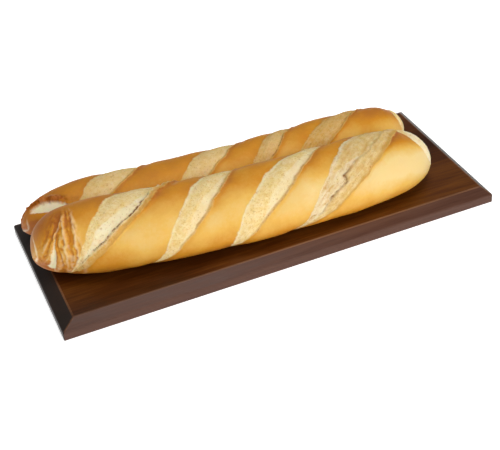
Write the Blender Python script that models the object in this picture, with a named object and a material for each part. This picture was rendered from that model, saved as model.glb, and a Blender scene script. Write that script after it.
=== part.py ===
"""Two crusty baguettes resting side by side on a chamfered dark wooden serving board.

Units are metres, +Z is up. The origin is the centre of the board's underside,
+X runs along the board's long side and +Y runs from the front loaf to the back loaf.
"""
import math

import bmesh
import bpy
from mathutils import Vector

# ---- driving dimensions -------------------------------------------------
BOARD_LENGTH = 0.500
BOARD_DEPTH = 0.208
BOARD_SIDE_HEIGHT = 0.0102       # upright part of the board's edge
BOARD_CHAMFER_HEIGHT = 0.0071
BOARD_CHAMFER_INSET = 0.0122     # along the two long edges
BOARD_LEFT_INSET = 0.0155        # the hand-cut ends are less even
BOARD_RIGHT_INSET = 0.009
BOARD_EDGE_EASE = 0.0006         # softened corners of the wood
BOARD_TOP = BOARD_SIDE_HEIGHT + BOARD_CHAMFER_HEIGHT

GAP = 0.0003                     # loaves rest this far above the wood

RINGS = 46                       # mesh rings along a loaf
SIDES = 30                       # mesh sides around a loaf

CENTRE_RATIO = 0.42              # height of the widest line, as a part of the loaf's height
END_LIFT = 0.55                  # how far the ends curl up off the board
SIDE_FULLNESS = 0.92             # exponent of the section's sideways bulge
BASE_FLATNESS = 0.75             # exponent that flattens the underside

HOOK_START = -0.6                # u where a hooked left end begins to turn

SLASH_START = math.radians(222)  # low on the front; 90 is the crown, 180 faces the front
SLASH_END = math.radians(18)     # low on the back
SLASH_DEPTH = 0.0022
SLASH_BLUNTNESS = 0.64

# left and right ends along X; centre line in Y at each end and its bow in the middle;
# half_width and height at the middle, swell towards the right, end exponents, and how far
# the left end hooks sideways;
# slashes as (x at the front, x at the back, width, sweep exponent, skew), where the skew moves
# the widest part of a cut past its middle
FRONT_LOAF = {
    "left": -0.2495, "right": 0.2045, "y_left": 0.001, "y_right": -0.037, "bow": -0.0235,
    "half_width": 0.0415, "height": 0.072, "swell": -0.02, "left_end": 7.5, "right_end": 6.8,
    "hook": 0.0,
    "slashes": [
        (-0.2207, -0.0800, 0.0600, 1.31, 1.88),
        (-0.1373, -0.0093, 0.0394, 1.08, 1.44),
        (-0.0515, 0.1090, 0.0480, 1.44, 1.28),
        (0.0145, 0.1785, 0.0700, 0.93, 1.40),
    ],
}
BACK_LOAF = {
    "left": -0.2455, "right": 0.214, "y_left": 0.075, "y_right": 0.040, "bow": -0.0235,
    "half_width": 0.0335, "height": 0.0555, "swell": 0.04, "left_end": 5.8, "right_end": 6.2,
    "hook": -0.011,
    "slashes": [
        (-0.2113, -0.0987, 0.0500, 1.12, 1.95),
        (-0.1007, 0.0222, 0.0416, 1.21, 1.58),
        (-0.0174, 0.0896, 0.0290, 1.22, 1.49),
        (0.0356, 0.1842, 0.0440, 1.26, 1.39),
    ],
}


# ---- materials ----------------------------------------------------------
def principled(name, colour, roughness):
    material = bpy.data.materials.new(name)
    material.use_nodes = True
    shader = material.node_tree.nodes["Principled BSDF"]
    shader.inputs["Base Color"].default_value = (*colour, 1.0)
    shader.inputs["Roughness"].default_value = roughness
    shader.inputs["Metallic"].default_value = 0.0
    material.diffuse_color = (*colour, 1.0)
    return material


def link_object(name, mesh_builder, material):
    mesh = bpy.data.meshes.new(name)
    mesh_builder.to_mesh(mesh)
    mesh_builder.free()
    mesh.materials.append(material)
    thing = bpy.data.objects.new(name, mesh)
    bpy.context.scene.collection.objects.link(thing)
    return thing


# ---- board --------------------------------------------------------------
def build_board(material):
    bm = bmesh.new()
    bmesh.ops.create_cube(bm, size=1.0)
    bmesh.ops.scale(bm, verts=bm.verts, vec=(BOARD_LENGTH, BOARD_DEPTH, BOARD_SIDE_HEIGHT))
    bmesh.ops.translate(bm, verts=bm.verts, vec=(0, 0, BOARD_SIDE_HEIGHT / 2))
    side_top = [face for face in bm.faces if face.normal.z > 0.9]
    raised = bmesh.ops.extrude_discrete_faces(bm, faces=side_top)["faces"]
    for vert in raised[0].verts:
        inset = BOARD_LEFT_INSET if vert.co.x < 0 else BOARD_RIGHT_INSET
        vert.co.x -= math.copysign(inset, vert.co.x)
        vert.co.y -= math.copysign(BOARD_CHAMFER_INSET, vert.co.y)
        vert.co.z = BOARD_TOP
    board = link_object("board", bm, material)
    ease = board.modifiers.new("eased_edges", "BEVEL")
    ease.width = BOARD_EDGE_EASE
    ease.segments = 2
    ease.limit_method = "ANGLE"
    ease.angle_limit = math.radians(20)
    return board


# ---- loaves -------------------------------------------------------------
def smooth_step(value):
    t = min(max(value, 0.0), 1.0)
    return t * t * (3 - 2 * t)


def slash_depth(loaf, x, angle):
    """Depth of the scored cuts at a place on the crust."""
    along = (SLASH_START - angle) / (SLASH_START - SLASH_END)
    if not 0.0 < along < 1.0:
        return 0.0
    depth = 0.0
    for x_front, x_back, width, sweep, skew in loaf["slashes"]:
        opening = math.sin(math.pi * along ** skew) ** SLASH_BLUNTNESS
        centre = x_front + (x_back - x_front) * along ** sweep
        across = abs(x - centre) / (width / 2 * opening + 1e-6)
        if across < 1.0:
            depth = max(depth, SLASH_DEPTH * opening * math.cos(across * math.pi / 2))
    return depth


def crust_point(loaf, u, angle):
    """Point of the loaf's crust at u (-1 left end, 1 right end) and an angle around it."""
    end = loaf["left_end"] if u < 0 else loaf["right_end"]
    taper = math.sqrt(max(0.0, 1 - abs(u) ** end))
    swell = 1 + loaf["swell"] * u
    half_width = loaf["half_width"] * taper * swell
    height = loaf["height"] * taper ** 0.9 * swell
    belly = CENTRE_RATIO * height
    lift = (CENTRE_RATIO * loaf["height"] * swell - belly) * END_LIFT
    x = (loaf["left"] + loaf["right"]) / 2 + (loaf["right"] - loaf["left"]) / 2 * u
    axis_y = loaf["y_left"] + (loaf["y_right"] - loaf["y_left"]) * (u + 1) / 2
    axis_y += loaf["bow"] * (1 - u * u)
    axis_y += loaf["hook"] * smooth_step((HOOK_START - u) / (HOOK_START + 1))
    cosine, sine = math.cos(angle), math.sin(angle)
    side = half_width * math.copysign(abs(cosine) ** SIDE_FULLNESS, cosine)
    if sine >= 0:
        rise = (height - belly) * sine
    else:
        rise = -belly * abs(sine) ** BASE_FLATNESS
    shrink = 1 - slash_depth(loaf, x, angle) * taper / loaf["half_width"]
    return Vector((x, axis_y + side * shrink, BOARD_TOP + GAP + lift + belly + rise * shrink))


def build_loaf(name, loaf, material):
    bm = bmesh.new()
    rings = []
    for i in range(1, RINGS):
        u = -math.cos(math.pi * i / RINGS)
        rings.append([bm.verts.new(crust_point(loaf, u, 2 * math.pi * k / SIDES))
                      for k in range(SIDES)])
    left_tip = bm.verts.new(crust_point(loaf, -1.0, 0.0))
    right_tip = bm.verts.new(crust_point(loaf, 1.0, 0.0))
    for k in range(SIDES):
        following = (k + 1) % SIDES
        for ring, next_ring in zip(rings, rings[1:]):
            bm.faces.new((ring[k], next_ring[k], next_ring[following], ring[following]))
        bm.faces.new((left_tip, rings[0][k], rings[0][following]))
        bm.faces.new((right_tip, rings[-1][following], rings[-1][k]))
    bmesh.ops.recalc_face_normals(bm, faces=bm.faces)
    thing = link_object(name, bm, material)
    thing.data.shade_smooth()
    return thing


def main():
    for thing in list(bpy.data.objects):
        bpy.data.objects.remove(thing, do_unlink=True)
    walnut = principled("walnut", (0.085, 0.035, 0.012), 0.38)
    crust = principled("crust", (0.72, 0.40, 0.12), 0.55)
    build_board(walnut)
    build_loaf("loaf_front", FRONT_LOAF, crust)
    build_loaf("loaf_back", BACK_LOAF, crust)


main()
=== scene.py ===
import math
from types import SimpleNamespace

import bpy
import numpy as np
from mathutils import Matrix, Vector, noise


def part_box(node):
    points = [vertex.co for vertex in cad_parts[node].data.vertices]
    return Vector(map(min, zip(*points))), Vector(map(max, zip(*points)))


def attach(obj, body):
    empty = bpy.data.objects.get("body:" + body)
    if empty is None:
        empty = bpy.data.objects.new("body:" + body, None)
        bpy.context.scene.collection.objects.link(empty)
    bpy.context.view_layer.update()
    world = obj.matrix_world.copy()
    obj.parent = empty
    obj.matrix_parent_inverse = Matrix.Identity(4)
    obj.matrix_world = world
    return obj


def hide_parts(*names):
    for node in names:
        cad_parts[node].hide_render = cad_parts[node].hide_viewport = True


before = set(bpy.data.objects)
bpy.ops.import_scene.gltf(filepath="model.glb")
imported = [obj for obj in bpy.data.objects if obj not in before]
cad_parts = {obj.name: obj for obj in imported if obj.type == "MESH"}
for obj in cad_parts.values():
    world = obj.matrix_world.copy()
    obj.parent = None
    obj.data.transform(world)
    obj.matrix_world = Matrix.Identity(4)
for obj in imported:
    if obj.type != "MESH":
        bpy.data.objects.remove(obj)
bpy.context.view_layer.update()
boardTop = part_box("board")[1].z
print("frame loaded")


# small helpers

def deselectAll():
    if bpy.context.object and bpy.context.object.mode != "OBJECT":
        bpy.ops.object.mode_set(mode="OBJECT")
    bpy.ops.object.select_all(action="DESELECT")


def smoothStep(low, high, value):
    t = np.clip((value - low) / (high - low), 0.0, 1.0)
    return t * t * (3 - 2 * t)


def bell(value, width):
    return np.exp(-(value / width) ** 2)


def noiseField(points, scale, octaves, seed):
    # smooth noise read at many places, about -1 to 1
    shift = Vector((seed, seed * 1.7, seed * 2.3))
    if octaves == 1:
        return np.array([noise.noise(Vector(p) * scale + shift) for p in points])
    return np.array([noise.fractal(Vector(p) * scale + shift, 0.9, 2.0, octaves) for p in points])


def readVectors(collection, name):
    values = np.empty(len(collection) * 3)
    collection.foreach_get(name, values)
    return values.reshape(-1, 3)


# node helpers

def newFinish(name):
    finish = bpy.data.materials.new(name)
    finish.use_nodes = True
    return finish, finish.node_tree, finish.node_tree.nodes["Principled BSDF"]


def addNode(tree, kind, inputs=None, **settings):
    node = tree.nodes.new(kind)
    for key, value in settings.items():
        setattr(node, key, value)
    for key, value in (inputs or {}).items():
        if isinstance(value, bpy.types.NodeSocket):
            tree.links.new(value, node.inputs[key])
        else:
            node.inputs[key].default_value = value
    return node


def mathNode(tree, operation, first, second=0.0, third=0.0):
    inputs = {0: first, 1: second, 2: third}
    return addNode(tree, "ShaderNodeMath", inputs, operation=operation).outputs[0]


def rampNode(tree, factor, stops):
    node = addNode(tree, "ShaderNodeValToRGB", {"Fac": factor})
    ramp = node.color_ramp
    while len(ramp.elements) < len(stops):
        ramp.elements.new(0.5)
    for element, (place, tint) in zip(ramp.elements, stops):
        element.position = place
        element.color = (*tint, 1.0)
    return node.outputs["Color"]


def mixColours(tree, factor, first, second):
    # 6 and 7 are the two colour inputs of a Mix node, and 2 is its colour output
    node = addNode(tree, "ShaderNodeMix", {0: factor}, data_type="RGBA")
    for index, value in ((6, first), (7, second)):
        if isinstance(value, bpy.types.NodeSocket):
            tree.links.new(value, node.inputs[index])
        else:
            node.inputs[index].default_value = (*value, 1.0)
    return node.outputs[2]


def rangeNode(tree, value, low, high, toLow=0.0, toHigh=1.0, smooth=False):
    kind = "SMOOTHSTEP" if smooth else "LINEAR"
    inputs = {"Value": value, "From Min": low, "From Max": high, "To Min": toLow, "To Max": toHigh}
    return addNode(tree, "ShaderNodeMapRange", inputs, interpolation_type=kind).outputs["Result"]


def noiseNode(tree, vector, scale, detail=4.0, rough=0.55, distortion=0.0):
    inputs = {"Vector": vector, "Scale": scale, "Detail": detail,
              "Roughness": rough, "Distortion": distortion}
    return addNode(tree, "ShaderNodeTexNoise", inputs).outputs["Fac"]


def attributeNode(tree, name):
    return addNode(tree, "ShaderNodeAttribute", attribute_name=name).outputs["Fac"]


def colour(red, green, blue):
    # screen colour (0 to 255) to the linear value that a socket takes
    def linear(c):
        c = c / 255
        return c / 12.92 if c <= 0.04045 else ((c + 0.055) / 1.055) ** 2.4
    return (linear(red), linear(green), linear(blue))


# camera

camera = {"place": (-0.3692, -0.9985, 0.7662), "azimuth": -20.13, "elevation": 36.11,
          "roll": -5.13, "lens": 83.43, "sensor": 36.0}


def addCamera():
    data = bpy.data.cameras.new("camera")
    data.lens = camera["lens"]
    data.sensor_width = camera["sensor"]
    data.sensor_fit = "HORIZONTAL"
    thing = bpy.data.objects.new("camera", data)
    bpy.context.scene.collection.objects.link(thing)
    turn = Matrix.Rotation(math.radians(camera["azimuth"]), 4, "Z")
    turn = turn @ Matrix.Rotation(math.radians(90 - camera["elevation"]), 4, "X")
    turn = turn @ Matrix.Rotation(math.radians(camera["roll"]), 4, "Z")
    thing.matrix_world = Matrix.Translation(camera["place"]) @ turn
    bpy.context.scene.camera = thing


addCamera()
print("camera set")


# floor and light

studio = {"floorSize": 8.0, "floorDrop": 0.0002, "floorTint": (0.92, 0.92, 0.92, 1),
          "floorGlow": 0.75, "white": (1, 1, 1, 1), "skyStrength": 0.16, "aim": (0, 0, 0.03),
          "lights": [
              # name, place, size, power
              ("key", (0.55, -2.5, 1.7), 2.0, 46.0),
              ("overhead", (0.10, -0.20, 1.9), 0.9, 13.0),
              ("behind", (0.5, 1.5, 2.6), 1.6, 6.0),
          ]}


def addStudio():
    deselectAll()
    drop = (0, 0, -studio["floorDrop"])
    bpy.ops.mesh.primitive_plane_add(size=studio["floorSize"], location=drop)
    floor = bpy.context.object
    floor.name = "floor"
    finish, tree, shader = newFinish("paleFloor")
    shader.inputs["Base Color"].default_value = studio["floorTint"]
    shader.inputs["Roughness"].default_value = 0.9
    shader.inputs["Specular IOR Level"].default_value = 0.1
    shader.inputs["Emission Color"].default_value = studio["white"]
    shader.inputs["Emission Strength"].default_value = studio["floorGlow"]
    floor.data.materials.append(finish)
    for name, place, size, power in studio["lights"]:
        data = bpy.data.lights.new(name, "AREA")
        data.shape = "DISK"
        data.size = size
        data.energy = power
        lamp = bpy.data.objects.new(name, data)
        bpy.context.scene.collection.objects.link(lamp)
        aim = Vector(studio["aim"]) - Vector(place)
        lamp.rotation_euler = aim.to_track_quat("-Z", "Y").to_euler()
        lamp.location = place
    world = bpy.data.worlds.new("studioSky")
    world.use_nodes = True
    sky = world.node_tree.nodes["Background"]
    sky.inputs["Color"].default_value = studio["white"]
    sky.inputs["Strength"].default_value = studio["skyStrength"]
    bpy.context.scene.world = world
    bpy.context.scene.view_settings.view_transform = "Standard"


addStudio()
print("studio set")


# serving board in dark stained wood

board = {
    # how far the chamfer runs in from each side, the upright part of the sides, soft edges
    "frontInset": 0.0122, "leftInset": 0.0155, "rightInset": 0.009, "sideHeight": 0.0102,
    "round": 0.0011, "roundSteps": 3, "roundLimit": 20,
    # only faces smaller than this, and this far above the upright sides, get wear with a painted
    # highlight
    "wearHighlightArea": 0.001, "wearHighlightAbove": 0.003,
    # stain tones; the flank tone is a painted sheen, the end tone an end-grain stain that is partly
    # painted shade, and the edge tone wear with a painted highlight
    "dark": colour(48, 18, 0), "middle": colour(74, 35, 3), "light": colour(112, 64, 14),
    "flankSheen": colour(92, 62, 50), "endGrainAndShade": colour(42, 36, 32), "wearHighlightTint": colour(134, 94, 66),
    # noise scales of the grain, and how much it is drawn out along the board
    "fibre": 420.0, "figure": 14.0, "blotch": 9.0, "fibreStretch": 0.05, "figureStretch": 0.14,
    "roughness": 0.40, "specular": 0.22, "grainBump": 0.25, "grainDepth": 0.0004}


def shapeBoard():
    low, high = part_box("board")
    size = high - low
    deselectAll()
    bpy.ops.mesh.primitive_cube_add(size=1, location=(0, 0, board["sideHeight"] / 2),
                                    scale=(size.x, size.y, board["sideHeight"]))
    piece = bpy.context.object
    piece.name = "servingBoard"
    bpy.ops.object.transform_apply(location=True, rotation=True, scale=True)
    bpy.ops.object.mode_set(mode="EDIT")
    bpy.ops.mesh.select_mode(type="FACE")
    bpy.ops.mesh.select_all(action="DESELECT")
    bpy.ops.object.mode_set(mode="OBJECT")
    for face in piece.data.polygons:
        face.select = face.normal.z > 0.9
    bpy.ops.object.mode_set(mode="EDIT")
    rise = (0, 0, size.z - board["sideHeight"])
    bpy.ops.mesh.extrude_region_move(TRANSFORM_OT_translate={"value": rise})
    shrink = (1 - (board["leftInset"] + board["rightInset"]) / size.x,
              1 - 2 * board["frontInset"] / size.y, 1)
    bpy.ops.transform.resize(value=shrink, center_override=(0, 0, size.z))
    bpy.ops.transform.translate(value=((board["leftInset"] - board["rightInset"]) / 2, 0, 0))
    bpy.ops.object.mode_set(mode="OBJECT")
    soften = piece.modifiers.new("softened", "BEVEL")
    soften.width = board["round"]
    soften.segments = board["roundSteps"]
    soften.limit_method = "ANGLE"
    soften.angle_limit = math.radians(board["roundLimit"])
    bpy.ops.object.modifier_apply(modifier=soften.name)
    # narrow rounded edges carry wear with a painted highlight; the sides take a painted sheen, and
    # the ends a darker end-grain stain that is partly painted shade
    mesh = piece.data
    tags = {"wearAndHighlight": [], "flankSheen": [], "endGrainAndShade": []}
    for face in mesh.polygons:
        narrow = face.area < board["wearHighlightArea"]
        upper = face.center.z > board["sideHeight"] + board["wearHighlightAbove"]
        tags["wearAndHighlight"].append(float(narrow and upper))
        tags["flankSheen"].append(smoothStep(0.2, 0.4, abs(face.normal.y)))
        tags["endGrainAndShade"].append(smoothStep(0.2, 0.38, abs(face.normal.x)))
    for name, values in tags.items():
        layer = mesh.attributes.new(name, "FLOAT", "FACE")
        layer.data.foreach_set("value", [float(value) for value in values])
    bpy.ops.object.shade_smooth_by_angle(angle=math.radians(12))
    return piece


def woodFinish():
    finish, tree, shader = newFinish("darkWalnut")
    place = addNode(tree, "ShaderNodeTexCoord").outputs["Object"]
    drawnOut = []
    for stretch in (board["fibreStretch"], board["figureStretch"]):
        inputs = {"Vector": place, "Scale": (stretch, 1.0, 1.0)}
        drawnOut.append(addNode(tree, "ShaderNodeMapping", inputs).outputs[0])
    fibre = noiseNode(tree, drawnOut[0], board["fibre"], 5.0, 0.6)
    figure = noiseNode(tree, drawnOut[1], board["figure"], 3.0, 0.5, 0.6)
    rings = mathNode(tree, "PINGPONG", mathNode(tree, "MULTIPLY", figure, 9.0), 1.0)
    blotch = noiseNode(tree, drawnOut[1], board["blotch"], 2.0)
    tone = mathNode(tree, "MULTIPLY", rings, 0.10)
    tone = mathNode(tree, "MULTIPLY_ADD", fibre, 0.40, tone)
    tone = mathNode(tree, "MULTIPLY_ADD", blotch, 0.50, tone)
    stained = rampNode(tree, tone, [(0.36, board["dark"]), (0.52, board["middle"]),
                                    (0.72, board["light"])])
    grainy = rangeNode(tree, fibre, 0.3, 0.7, 0.55, 0.85)
    # painted sheen: the front and back sides take a lighter, pinker tone
    flankSheen = mathNode(tree, "MULTIPLY", attributeNode(tree, "flankSheen"), grainy)
    stained = mixColours(tree, flankSheen, stained, board["flankSheen"])
    # the ends darker and greyer: end-grain stain, partly painted shade
    endGrainAndShade = mathNode(tree, "MULTIPLY", attributeNode(tree, "endGrainAndShade"), 0.92)
    stained = mixColours(tree, endGrainAndShade, stained, board["endGrainAndShade"])
    patchy = mathNode(tree, "MULTIPLY", grainy, rangeNode(tree, blotch, 0.4, 0.6, 0.35, 0.9))
    wearAndHighlight = mathNode(tree, "MULTIPLY", attributeNode(tree, "wearAndHighlight"), patchy)
    stained = mixColours(tree, wearAndHighlight, stained, board["wearHighlightTint"])
    tree.links.new(stained, shader.inputs["Base Color"])
    sheen = rangeNode(tree, fibre, 0.3, 0.7, board["roughness"] - 0.06, board["roughness"] + 0.1)
    tree.links.new(sheen, shader.inputs["Roughness"])
    shader.inputs["Specular IOR Level"].default_value = board["specular"]
    inputs = {"Height": fibre, "Strength": board["grainBump"], "Distance": board["grainDepth"]}
    bump = addNode(tree, "ShaderNodeBump", inputs)
    tree.links.new(bump.outputs[0], shader.inputs["Normal"])
    return finish


servingBoard = shapeBoard()
servingBoard.data.materials.append(woodFinish())
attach(servingBoard, "root")
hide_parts("board")
print("board shaped")


# loaves

bread = {
    # mesh, section and ends
    "rings": 410, "sides": 232, "centreRatio": 0.42, "endLift": 0.55, "fullness": 0.92,
    "baseFlatness": 0.75, "gap": 0.0003,
    # cuts: first and last angle round the loaf, how blunt their ends are, and their width
    # at right angles as a share of their width along the loaf
    "slashStart": 222.0, "slashEnd": 18.0, "slashBluntness": 0.64, "acrossSlash": 0.74,
    # heights of the relief
    "swelling": 0.0012, "swellingReach": 0.012, "crumbRise": 0.0018, "creviceDepth": 0.0015,
    "strandHeight": 0.0008, "flakeHeight": 0.0012, "crumbGrain": 0.00035, "wave": 0.0009,
    "crustGrain": 0.00008, "lipHeight": 0.0034, "mouthDepth": 0.0024,
    # browning: of the whole crust, its mottling, near the board (partly painted shade), at the
    # tips, in creases (painted shade in their valleys)
    "baked": 0.70, "mottled": 0.12, "underBakedAndShaded": 0.16, "tipBaked": 0.14, "creaseShadeAndBake": 0.34,
    # the pale cheek, partly lighter crust and partly painted highlight: its angle round the loaf
    # and its spread
    "cheekAngle": 152, "cheekSpread": 38,
    # noise: scale, octaves, and what is added to the loaf's own seed
    "noise": {"wobble": (55.0, 2, 0), "strands": (300.0, 1, 1), "flakes": (170.0, 3, 2),
              "crumb": (380.0, 2, 3), "wave": (24.0, 2, 4), "ragged": (260.0, 2, 5),
              "crust": (300.0, 2, 6), "mottle": (30.0, 2, 7), "folds": (210.0, 3, 9)}}

# a cut runs over the loaf from low on its front to low on its back: x at both ends, greatest
# width, how it sweeps and where it is widest, depth, height of the flap of crust lifted
# along its right side, the path of the crevice under that flap (place along the cut and
# across it), how open the crevice is and where it starts and stops, torn strands, toasting,
# and the band of fresh crumb left of the crevice (strength, width, middle and spread)
plainCut = {"from": 0.0, "to": 0.0, "width": 0.04, "sweep": 1.2, "skew": 1.5, "depth": 0.0020,
            "flap": 0.0008, "path": ((0.0, 0.78), (1.0, 0.84)), "crevice": 0.10,
            "opens": 0.15, "closes": 0.85, "torn": 0.12, "toasted": 0.0, "edgeLine": 0.0,
            "fresh": 0.25, "freshWidth": 0.7, "freshMiddle": 0.45, "freshSpread": 0.2}

# x of both ends and y of the axis there, how far the axis bows and hooks, half width, height,
# swelling towards the right end, how square both ends are, paleness of the cheek (partly painted
# highlight) and painted light on the right end
frontLoaf = {
    "name": "frontLoaf", "node": "loaf_front", "seed": 3.0,
    "left": -0.2495, "right": 0.2045, "yLeft": 0.001, "yRight": -0.037, "bow": -0.0235,
    "hook": 0.0, "halfWidth": 0.0415, "height": 0.072, "swell": -0.02,
    "leftEnd": 7.5, "rightEnd": 6.8, "cheek": 0.50, "litRightEnd": 1.0,
    "cuts": [
        {"from": -0.2207, "to": -0.0800, "width": 0.0600, "sweep": 1.31, "skew": 1.88,
         "depth": 0.0036, "flap": 0.0032, "crevice": 1.0, "opens": 0.13, "closes": 0.72,
         "path": ((0.15, -0.60), (0.20, -0.40), (0.36, 0.26), (0.50, 0.56), (0.65, 0.54),
                  (0.80, 0.58), (1.0, 0.6)),
         "fresh": 1.0, "freshWidth": 0.90, "freshMiddle": 0.44, "freshSpread": 0.17},
        {"from": -0.1373, "to": -0.0093, "width": 0.0394, "sweep": 1.08, "skew": 1.44,
         "crevice": 0.35, "closes": 0.48, "fresh": 0.5, "edgeLine": 0.5},
        {"from": -0.0515, "to": 0.1090, "width": 0.0480, "sweep": 1.44, "skew": 1.28,
         "crevice": 0.15, "fresh": 0.6, "freshMiddle": 0.5, "edgeLine": 0.6},
        {"from": 0.0145, "to": 0.1785, "width": 0.0700, "sweep": 0.93, "skew": 1.40,
         "depth": 0.0024, "flap": 0.0008, "crevice": 0.50, "opens": 0.14, "closes": 0.56,
         "path": ((0.15, -0.10), (0.25, -0.12), (0.32, -0.20), (0.36, 0.10), (0.42, -0.24),
                  (0.50, -0.06), (0.54, 0.20), (0.70, 0.40), (1.0, 0.5)),
         "torn": 0.6, "toasted": 0.06, "edgeLine": 1.0, "fresh": 1.0, "freshWidth": 1.2,
         "freshMiddle": 0.28, "freshSpread": 0.18},
        {"from": 0.2010, "to": 0.1600, "width": 0.0310, "sweep": 2.6, "skew": 2.2,
         "depth": 0.0010, "flap": 0.0004, "crevice": 0.0, "fresh": 0.9, "freshWidth": 2.0,
         "freshSpread": 0.4},
    ],
    # creases of the twisted end: angle and x at the top, angle and x low down, bend,
    # half width at both, rise (negative for a valley), paleness (cream crumb in the deep crease, a
    # painted highlight on the ridges; the other valleys get painted shade)
    "creases": [
        (127, -0.2236, 203, -0.2368, 0.55, 0.0004, 0.0034, -0.0036, 1.0),
        (96, -0.2104, 186, -0.2208, 0.45, 0.0010, 0.0011, 0.0012, 0.40),
        (93, -0.2024, 184, -0.2118, 0.8, 0.0011, 0.0012, 0.0013, 0.45),
        (118, -0.2128, 178, -0.2160, 0.6, 0.0008, 0.0012, -0.0016, 0.0),
        (94, -0.2104, 130, -0.2280, 1.0, 0.0009, 0.0010, 0.0011, 0.30),
        (136, -0.2245, 188, -0.2262, 0.8, 0.0008, 0.0011, -0.0016, 0.0),
        (84, -0.2440, 190, -0.2478, 0.6, 0.0008, 0.0009, 0.0006, 0.75),
    ],
    # folds that fan out over the twisted end: x and angle of their root, lowest angle,
    # spread at both, height and paleness of the crests (a painted highlight; the valleys get
    # painted shade)
    "fan": (-0.2010, 84, 204, 0.014, 0.044, 0.0009, 0.30),
    "tears": [],
    # darker patches: x, angle, half length, half angle, browning
    "patches": [(-0.2412, 192, 0.0060, 18, 0.32), (-0.2080, 190, 0.0110, 14, 0.12)],
}
backLoaf = {
    "name": "backLoaf", "node": "loaf_back", "seed": 11.0,
    "left": -0.2455, "right": 0.214, "yLeft": 0.075, "yRight": 0.040, "bow": -0.0235,
    "hook": -0.011, "halfWidth": 0.0335, "height": 0.0555, "swell": 0.04,
    "leftEnd": 5.8, "rightEnd": 6.2, "cheek": 0.20, "litRightEnd": 0.0,
    "cuts": [
        {"from": -0.2113, "to": -0.0987, "width": 0.0500, "sweep": 1.12, "skew": 1.95,
         "toasted": 0.28},
        {"from": -0.1007, "to": 0.0222, "width": 0.0416, "sweep": 1.21, "skew": 1.58,
         "toasted": 0.30},
        {"from": -0.0174, "to": 0.0896, "width": 0.0290, "sweep": 1.22, "skew": 1.49,
         "crevice": 0.4, "torn": 0.4, "toasted": 0.45},
        {"from": 0.0356, "to": 0.1842, "width": 0.0440, "sweep": 1.26, "skew": 1.39,
         "torn": 0.5, "toasted": 0.55},
        {"from": 0.2125, "to": 0.2020, "width": 0.0130, "sweep": 1.0, "skew": 1.4,
         "depth": 0.0012, "flap": 0.0006, "crevice": 0.0},
    ],
    "creases": [
        (150, -0.2300, 215, -0.2405, 0.7, 0.0009, 0.0013, -0.0014, 0.0),
        (120, -0.2395, 205, -0.2440, 0.8, 0.0008, 0.0009, 0.0008, 0.5),
    ],
    "fan": None,
    # a torn mouth at the end: middle x and angle, half length, half angle, degrees per metre
    "tears": [(-0.2150, 117, 0.0205, 17, 850)],
    "patches": [(-0.2340, 156, 0.0130, 26, 0.50), (-0.2440, 190, 0.0040, 30, 0.30)],
}


def loafBase(loaf, u, angle):
    end = np.where(u < 0, loaf["leftEnd"], loaf["rightEnd"])
    taper = np.sqrt(np.clip(1 - np.abs(u) ** end, 0, 1))
    swell = 1 + loaf["swell"] * u
    halfWidth = loaf["halfWidth"] * taper * swell
    height = loaf["height"] * taper ** 0.9 * swell
    belly = bread["centreRatio"] * height
    lift = (bread["centreRatio"] * loaf["height"] * swell - belly) * bread["endLift"]
    x = (loaf["left"] + loaf["right"]) / 2 + (loaf["right"] - loaf["left"]) / 2 * u
    axisY = loaf["yLeft"] + (loaf["yRight"] - loaf["yLeft"]) * (u + 1) / 2
    axisY = axisY + loaf["bow"] * (1 - u * u) + loaf["hook"] * smoothStep(-0.6, -1.0, u)
    cosine = np.cos(angle)
    sine = np.sin(angle)
    side = halfWidth * np.sign(cosine) * np.abs(cosine) ** bread["fullness"]
    under = -belly * np.abs(sine) ** bread["baseFlatness"]
    rise = np.where(sine >= 0, (height - belly) * sine, under)
    z = boardTop + bread["gap"] + lift + belly + rise
    return np.stack([x, axisY + side, z], 1), taper


def contactLine(x):
    # y of the seam where the two loaves press against each other
    sides = []
    for loaf, angle in ((frontLoaf, 0.0), (backLoaf, math.pi)):
        u = (2 * x - loaf["left"] - loaf["right"]) / (loaf["right"] - loaf["left"])
        points = loafBase(loaf, np.clip(u, -1, 1), np.full(len(x), angle))[0]
        sides.append(points[:, 1])
    return (sides[0] + sides[1]) / 2


def cutField(loaf, x, degrees):
    # the nearest cut: metres inside its edge, place across it (-1 left, 1 right), how open
    # it is there, place along it, place across from the crevice, and its own values
    count = len(x)
    keys = ("depth", "flap", "torn", "toasted", "edgeLine", "fresh")
    field = {"inside": np.full(count, -1.0)}
    for key in ("side", "open", "along", "past", "crevice") + keys:
        field[key] = np.zeros(count)
    along = (bread["slashStart"] - degrees) / (bread["slashStart"] - bread["slashEnd"])
    inner = np.clip(along, 0.0, 1.0)
    beyond = np.maximum(np.maximum(-along, along - 1), 0) * 0.12
    for choice in loaf["cuts"]:
        cut = {**plainCut, **choice}
        opening = np.abs(np.sin(np.pi * inner ** cut["skew"])) ** bread["slashBluntness"]
        half = cut["width"] / 2 * opening
        offset = x - cut["from"] - (cut["to"] - cut["from"]) * inner ** cut["sweep"]
        depthIn = (half - np.abs(offset)) * bread["acrossSlash"] - beyond
        better = depthIn > field["inside"]
        side = np.clip(offset / (half + 1e-4), -3, 3)
        steps, places = zip(*cut["path"])
        past = side - np.interp(inner, steps, places)
        gap = smoothStep(cut["opens"], cut["opens"] + 0.07, inner)
        gap *= smoothStep(cut["closes"], cut["closes"] - 0.15, inner)
        band = cut["freshWidth"] * bell(inner - cut["freshMiddle"], cut["freshSpread"])
        fresh = cut["fresh"] * smoothStep(-0.12, 0.06, past + band) * smoothStep(0.05, 0.3, band)
        found = {"inside": depthIn, "side": side, "open": opening, "along": along, "past": past,
                 "crevice": cut["crevice"] * gap, "fresh": fresh}
        for key in field:
            field[key] = np.where(better, found.get(key, cut.get(key)), field[key])
    return SimpleNamespace(**field)


def loafNoise(loaf, points, kind):
    scale, octaves, extraSeed = bread["noise"][kind]
    return noiseField(points, scale, octaves, loaf["seed"] + extraSeed)


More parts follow.
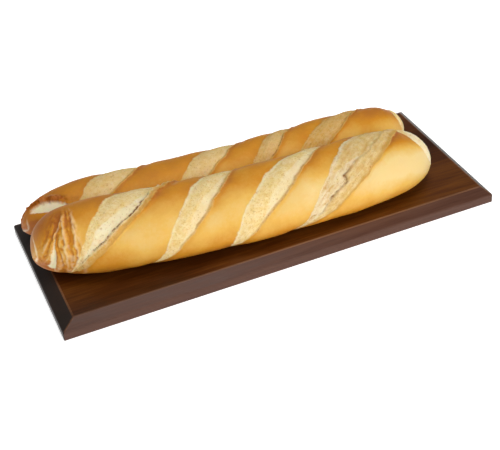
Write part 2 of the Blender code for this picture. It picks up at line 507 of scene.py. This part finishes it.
def startLoaf(loaf):
    # a ball drawn out to the loaf's form, and what is known at each of its points
    deselectAll()
    bpy.ops.mesh.primitive_uv_sphere_add(segments=bread["sides"], ring_count=bread["rings"],
                                         radius=1.0, rotation=(0, math.radians(90), 0))
    piece = bpy.context.object
    piece.name = loaf["name"]
    bpy.ops.object.transform_apply(location=True, rotation=True, scale=True)
    mesh = piece.data
    ball = readVectors(mesh.vertices, "co")
    u = np.clip(ball[:, 0], -1, 1)
    angle = np.arctan2(ball[:, 2], ball[:, 1])
    points, taper = loafBase(loaf, u, angle)
    mesh.vertices.foreach_set("co", points.ravel())
    mesh.update()
    at = SimpleNamespace(points=points, taper=taper, u=u)
    at.normals = readVectors(mesh.vertex_normals, "vector")
    # angles run from -60 under the back over the crown (90) and the front (180) to 300
    degrees = np.degrees(angle) % 360
    at.degrees = np.where(degrees > 300, degrees - 360, degrees)
    for kind in ("wobble", "ragged", "flakes"):
        setattr(at, kind, loafNoise(loaf, points, kind))
    at.x = points[:, 0] + at.wobble * 0.0014
    # each later step adds to these: metres moved outwards, and tints from 0 to 1
    for kind in ("move", "pale", "brown", "dark"):
        setattr(at, kind, np.zeros(len(points)))
    return piece, at


def openCuts(loaf, at):
    cut = cutField(loaf, at.x, at.degrees + at.wobble * 2)
    cut.past += 0.05 * at.ragged
    inCut = smoothStep(-0.0006, 0.0018, cut.inside)

    # the cut opens and its crumb rises in it; past the crevice a flap of crust is lifted
    hollow = cut.depth * cut.open * (0.35 + 0.65 * smoothStep(-1.2, -0.05, cut.past))
    hollow *= 1 - smoothStep(0.0, 0.12, cut.past)
    at.move += bread["swelling"] * smoothStep(0.0, bread["swellingReach"], -cut.inside) * at.taper
    risen = 1 - np.clip(cut.side, -1, 1) ** 2
    at.move += inCut * cut.open * bread["crumbRise"] * risen - inCut * hollow
    lifted = smoothStep(0.02, 0.14, cut.past) * smoothStep(1.16, 0.45, cut.side)
    lifted = np.maximum(lifted, bell(cut.side - 0.94, 0.12) * (cut.flap > 0))
    at.move += cut.flap * cut.open * lifted * (0.8 + 0.5 * at.ragged) * (cut.inside > -0.008)
    broken = smoothStep(-0.45, 0.05, at.flakes + 0.4 * at.ragged)
    groove = cut.crevice * cut.open * bell(cut.past - 0.01, 0.055) * inCut
    groove *= 0.15 + 0.85 * broken
    at.move -= bread["creviceDepth"] * groove
    # painted shade: the crevice is painted dark along its groove
    at.dark = np.clip(groove * (1.7 + 1.8 * at.ragged), 0, 1)

    # torn strands run along the cut, and are ridged across it
    place = [np.clip(cut.side, -1, 1) * 0.021, cut.along * 0.034]
    strands = np.stack(place + [np.full(len(at.x), loaf["seed"] * 0.01)], 1)
    strands[:, 0] -= strands[:, 1] * 0.5
    cut.ridges = np.clip(1 - np.abs(loafNoise(loaf, strands, "strands")) * 2.2, -1, 1)
    torn = bread["strandHeight"] * cut.ridges + bread["flakeHeight"] * at.flakes
    at.move += inCut * cut.torn * cut.open * torn

    # grain of crumb and crust, and slow waves over the whole loaf
    at.move += inCut * bread["crumbGrain"] * loafNoise(loaf, at.points, "crumb")
    at.move += bread["wave"] * loafNoise(loaf, at.points, "wave") * at.taper
    at.move += bread["crustGrain"] * (1 - inCut) * loafNoise(loaf, at.points, "crust")
    return cut


def creaseEnd(loaf, at):
    # creases and ridges of the twisted end
    for topAngle, topX, lowAngle, lowX, bend, topWidth, lowWidth, rise, paleness in loaf["creases"]:
        clean = paleness > 0.9
        rough = 0.15 if clean else 0.5
        reach = (at.degrees - topAngle) / (lowAngle - topAngle)
        run = np.clip(reach, 0, 1)
        fade = smoothStep(-0.10, 0.18, reach) * (1 - smoothStep(0.92, 1.12, reach))
        width = (topWidth + (lowWidth - topWidth) * run) * (1 + rough * at.ragged)
        offset = at.x + at.wobble * 0.0012 + at.ragged * 0.0010 * rough
        offset = offset - topX - (lowX - topX) * run ** bend
        shape = bell(offset, width) * fade
        at.move += rise * shape
        # ridges painted pale as a painted highlight; the deep crease is cream crumb; the other
        # valleys painted brown as painted shade
        shown = smoothStep(0.30, 0.62, shape) if clean else shape
        at.pale = np.maximum(at.pale, paleness * shown)
        at.brown = np.maximum(at.brown, (rise < 0) * (1 - paleness) * shape)


def fanEnd(loaf, at):
    # fine folds that spread from one root over the twisted end
    rootX, topAngle, lowAngle, near, far, height, paleness = loaf["fan"]
    reach = (at.degrees - topAngle) / (lowAngle - topAngle)
    run = np.clip(reach, 0, 1)
    spread = (rootX - at.x + 0.002 * at.wobble) / (near + far * run)
    bounds = smoothStep(-0.02, 0.15, spread) * smoothStep(1.65, 1.05, spread + 0.38 * run)
    bounds *= smoothStep(-0.08, 0.12, reach) * smoothStep(1.2, 0.95, reach)
    fanned = np.stack([spread * 0.030, run * 0.007, np.full(len(at.x), 0.02)], 1)
    folds = 1.1 * loafNoise(loaf, fanned, "folds") + 0.45 * at.ragged + 0.3 * at.flakes
    crests = smoothStep(0.05, 0.55, folds) * bounds
    valleys = smoothStep(-0.05, -0.55, folds) * bounds
    at.move += height * (crests - 1.2 * valleys)
    # crests painted pale as a painted highlight, valleys painted brown as painted shade
    at.pale = np.maximum(at.pale, paleness * crests)
    at.brown = np.maximum(at.brown, 0.9 * valleys)


def tearMouths(loaf, at):
    # pale crumb below, a ragged lip of crust above
    for middleX, middleAngle, halfLength, halfAngle, slant in loaf["tears"]:
        lean = at.degrees - middleAngle - (at.x - middleX) * slant
        reach = np.hypot((at.x - middleX) / halfLength, lean / halfAngle) + 0.16 * at.ragged
        mouth = smoothStep(1.04, 0.80, reach)
        lip = bell((lean + halfAngle * 1.35) / halfAngle, 0.48)
        lip *= bell((at.x - middleX) / halfLength, 1.1)
        raised = bread["lipHeight"] * lip * (1 + 1.1 * at.ragged + 0.8 * at.flakes)
        at.move += raised - bread["mouthDepth"] * mouth
        at.pale = np.maximum(at.pale, mouth)
        at.brown = np.maximum(at.brown, 1.3 * lip)
        shade = 0.85 * lip * smoothStep(0.25, -0.25, at.flakes + 0.5 * at.ragged)
        at.dark = np.maximum(at.dark, shade)


def settleLoaf(loaf, at):
    # the points move out, and stay off the board and on their own side of the seam
    at.points = at.points + at.normals * at.move[:, None]
    at.points[:, 2] = np.maximum(at.points[:, 2], boardTop + bread["gap"])
    seam = contactLine(at.points[:, 0])
    if loaf is frontLoaf:
        at.points[:, 1] = np.minimum(at.points[:, 1], seam - bread["gap"])
    else:
        at.points[:, 1] = np.maximum(at.points[:, 1], seam + bread["gap"])


def crustBakingLightAndShade(loaf, at, cut):
    # deep on the crown and where the loaf meets the board (there partly painted shade), pale on the
    # cheeks (partly lighter crust, partly painted highlight)
    cheek = bell(at.degrees - bread["cheekAngle"], bread["cheekSpread"])
    height = (at.points[:, 2] - boardTop) / loaf["height"]
    bakingLightAndShade = bread["baked"] - loaf["cheek"] * cheek * (1 + 0.25 * at.u) - 0.05 * at.u
    bakingLightAndShade += bread["mottled"] * loafNoise(loaf, at.points, "mottle")
    # darker near the board: partly browning, partly painted shade
    bakingLightAndShade += bread["underBakedAndShaded"] * smoothStep(0.28, 0.0, height) * smoothStep(0.9, 0.2, at.u)
    rightEnd = smoothStep(0.5, 0.9, at.u)
    # painted light: the front of the right end is painted paler
    bakingLightAndShade -= 0.12 * loaf["litRightEnd"] * rightEnd * smoothStep(125, 165, at.degrees)
    bakingLightAndShade += 0.24 * rightEnd * smoothStep(138, 100, at.degrees)
    # the crust browns along a cut, most on its right side
    outside = np.minimum(cut.inside + 0.0005, 0)
    bakingLightAndShade += np.where(cut.side > 0, 0.20, 0.04) * bell(outside, 0.0035) * cut.open
    # browner tips; the valleys of the creases darker as painted shade, and the torn lip browner
    bakingLightAndShade += bread["tipBaked"] * smoothStep(-0.78, -0.95, at.u) + bread["creaseShadeAndBake"] * at.brown
    for middleX, middleAngle, halfLength, halfAngle, browning in loaf["patches"]:
        reach = np.hypot((at.x - middleX) / halfLength, (at.degrees - middleAngle) / halfAngle)
        bakingLightAndShade += browning * bell(reach, 0.7)
    return bakingLightAndShade


def crumbTints(at, cut):
    # toasted on the flap and at the right edge; fresh left of the crevice and on two thin
    # lines, along the left edge (a painted highlight) and just past the crevice
    flap = cut.flap > 0.002
    toast = 0.85 * smoothStep(0.05, 0.35, cut.past) * flap * (1 + 0.6 * at.ragged)
    toast += 0.75 * smoothStep(0.66, 0.92, cut.side)
    toast += cut.torn * np.clip(0.42 - 0.5 * cut.ridges - 0.7 * at.flakes, 0, 1) + cut.toasted
    fresh = cut.fresh * smoothStep(0.10, -0.02, cut.past) * (0.85 + 0.5 * at.wobble)
    # painted highlight: a thin pale line along the cut's left edge
    line = cut.edgeLine * bell(cut.side + 0.90, 0.10) * smoothStep(0.1, 0.3, cut.open)
    line += 0.8 * cut.crevice * bell(cut.past - 0.20, 0.08) * cut.open
    rim = flap * bell(cut.side - 0.99, 0.06) * cut.open
    at.dark = np.maximum(at.dark, 0.45 * rim * smoothStep(-0.4, 0.3, at.flakes))
    return toast, np.maximum(fresh, line)


def sculptLoaf(loaf):
    piece, at = startLoaf(loaf)
    cut = openCuts(loaf, at)
    creaseEnd(loaf, at)
    if loaf["fan"]:
        fanEnd(loaf, at)
    tearMouths(loaf, at)
    settleLoaf(loaf, at)
    mesh = piece.data
    mesh.vertices.foreach_set("co", at.points.ravel())
    mesh.update()
    mesh.shade_smooth()

    # what the finish reads, point by point; "inside" is in millimetres
    toast, fresh = crumbTints(at, cut)
    tints = {"inside": cut.inside * 1000, "bakingLightAndShade": crustBakingLightAndShade(loaf, at, cut), "pale": at.pale,
             "toast": toast, "fresh": fresh, "dark": at.dark, "torn": cut.torn,
             "across": np.clip(cut.side, -1, 1), "along": cut.along}
    for name, values in tints.items():
        layer = mesh.attributes.new(name, "FLOAT", "POINT")
        layer.data.foreach_set("value", values)
    return piece


crustTones = {"pale": colour(235, 205, 138), "gold": colour(230, 182, 86),
              "orange": colour(212, 142, 36), "brown": colour(180, 106, 40),
              "dark": colour(134, 74, 22), "roughness": 0.52, "specular": 0.2}
crumbTones = {"cream": colour(250, 238, 202), "straw": colour(245, 222, 166),
              "yellow": colour(236, 206, 136), "toast": colour(212, 160, 76),
              "poreShade": colour(182, 128, 58), "roughness": 0.9, "poreScale": 330.0,
              "softness": 0.3, "glowRadius": (1.0, 0.45, 0.15), "glowDepth": 0.003}


def breadFinish():
    finish, tree, shader = newFinish("bakedBread")
    place = addNode(tree, "ShaderNodeTexCoord").outputs["Object"]
    names = ("inside", "bakingLightAndShade", "pale", "toast", "fresh", "dark", "torn")
    inside, bakingLightAndShade, pale, toast, fresh, dark, torn = (attributeNode(tree, name) for name in names)
    fine = noiseNode(tree, place, 900.0, 5.0, 0.6)
    mid = noiseNode(tree, place, 260.0, 4.0, 0.6)
    broad = noiseNode(tree, place, 45.0, 3.0, 0.5)
    soft = noiseNode(tree, place, 150.0, 4.0, 0.65)
    speck = noiseNode(tree, place, 520.0, 3.0, 0.6)

    # strands of crumb, torn at a slant to the cut
    along = mathNode(tree, "MULTIPLY", attributeNode(tree, "along"), 5.0)
    across = mathNode(tree, "SUBTRACT", attributeNode(tree, "across"),
                      mathNode(tree, "MULTIPLY", along, 0.4))
    laid = addNode(tree, "ShaderNodeCombineXYZ", {"X": across, "Y": along, "Z": inside})
    strand = noiseNode(tree, laid.outputs[0], 5.0, 6.0, 0.65, 0.4)

    # where the cut's crumb begins, with a slightly ragged edge
    edge = mathNode(tree, "MULTIPLY_ADD", mid, 2.6, -1.3)
    edge = mathNode(tree, "ADD", inside, edge)
    cut = rangeNode(tree, edge, -0.7, 0.9, smooth=True)

    # crust
    tone = mathNode(tree, "MULTIPLY_ADD", broad, 0.24, -0.12)
    tone = mathNode(tree, "ADD", bakingLightAndShade, tone)
    tone = mathNode(tree, "MULTIPLY_ADD", mid, 0.16, tone)
    tone = mathNode(tree, "MULTIPLY_ADD", fine, 0.10, tone)
    tone = mathNode(tree, "SUBTRACT", tone, 0.10)
    crust = rampNode(tree, tone, [(0.10, crustTones["pale"]), (0.38, crustTones["gold"]),
                                  (0.68, crustTones["orange"]), (1.0, crustTones["brown"])])

    # crumb: soft mottling, then freckles, toasting, fresh crumb, and small pores and pits painted
    # darker as painted shade
    crumb = rampNode(tree, soft, [(0.36, crumbTones["yellow"]), (0.60, crumbTones["straw"])])
    freckle = rangeNode(tree, speck, 0.52, 0.66, 0.0, 0.45)
    crumb = mixColours(tree, freckle, crumb, crumbTones["toast"])
    freshness = mathNode(tree, "MULTIPLY", fresh, rangeNode(tree, mid, 0.3, 0.6, 0.6, 1.0))
    crumb = mixColours(tree, mathNode(tree, "MINIMUM", freshness, 0.9), crumb,
                       crumbTones["cream"])
    tear = mathNode(tree, "MULTIPLY", torn, rangeNode(tree, strand, 0.42, 0.60, 0.0, 0.5))
    toasted = mathNode(tree, "MULTIPLY", toast, rangeNode(tree, speck, 0.3, 0.7, 1.3, 0.55))
    toasted = mathNode(tree, "ADD", toasted, tear)
    toasted = mathNode(tree, "MINIMUM", toasted, 0.92)
    crumb = mixColours(tree, toasted, crumb, crumbTones["toast"])
    inputs = {"Vector": place, "Scale": crumbTones["poreScale"]}
    pores = addNode(tree, "ShaderNodeTexVoronoi", inputs)
    # pores and pits painted darker: painted shade in small hollows
    pore = rangeNode(tree, pores.outputs["Distance"], 0.10, 0.26, 0.35, 0.0)
    crumb = mixColours(tree, pore, crumb, crumbTones["poreShade"])
    pit = rangeNode(tree, mid, 0.30, 0.38, 0.5, 0.0)
    crumb = mixColours(tree, pit, crumb, crumbTones["poreShade"])

    body = mixColours(tree, cut, crust, crumb)
    # painted highlight on the ridges of the twisted end, and cream crumb in its deep crease and
    # torn mouth
    paleTone = mixColours(tree, freckle, crumbTones["cream"], crumbTones["straw"])
    body = mixColours(tree, pale, body, paleTone)
    # painted shade in the crevices and on the torn lip, and a dark line along the flap's edge
    body = mixColours(tree, dark, body, crustTones["dark"])
    tree.links.new(body, shader.inputs["Base Color"])
    rough = rangeNode(tree, cut, 0.0, 1.0, crustTones["roughness"], crumbTones["roughness"])
    tree.links.new(rough, shader.inputs["Roughness"])
    gloss = rangeNode(tree, dark, 0.0, 0.6, crustTones["specular"], 0.0)
    tree.links.new(gloss, shader.inputs["Specular IOR Level"])
    shader.inputs["Subsurface Weight"].default_value = crumbTones["softness"]
    shader.inputs["Subsurface Radius"].default_value = crumbTones["glowRadius"]
    shader.inputs["Subsurface Scale"].default_value = crumbTones["glowDepth"]

    # pores, strands and crumb stand out in the cuts, and a finer grain over everything
    hollow = mathNode(tree, "MULTIPLY_ADD", pore, -0.8, speck)
    hollow = mathNode(tree, "MULTIPLY_ADD", mathNode(tree, "MULTIPLY", strand, torn), 2.5, hollow)
    grain = mathNode(tree, "MULTIPLY", hollow, cut)
    grain = mathNode(tree, "MULTIPLY_ADD", fine, 0.2, grain)
    grain = mathNode(tree, "MULTIPLY_ADD", mid, 0.35, grain)
    bump = addNode(tree, "ShaderNodeBump", {"Height": grain, "Strength": 0.6, "Distance": 0.0010})
    tree.links.new(bump.outputs[0], shader.inputs["Normal"])
    return finish


breadMaterial = breadFinish()
for loaf in (frontLoaf, backLoaf):
    piece = sculptLoaf(loaf)
    piece.data.materials.append(breadMaterial)
    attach(piece, "root")
    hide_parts(loaf["node"])
    print(loaf["name"], "shaped")
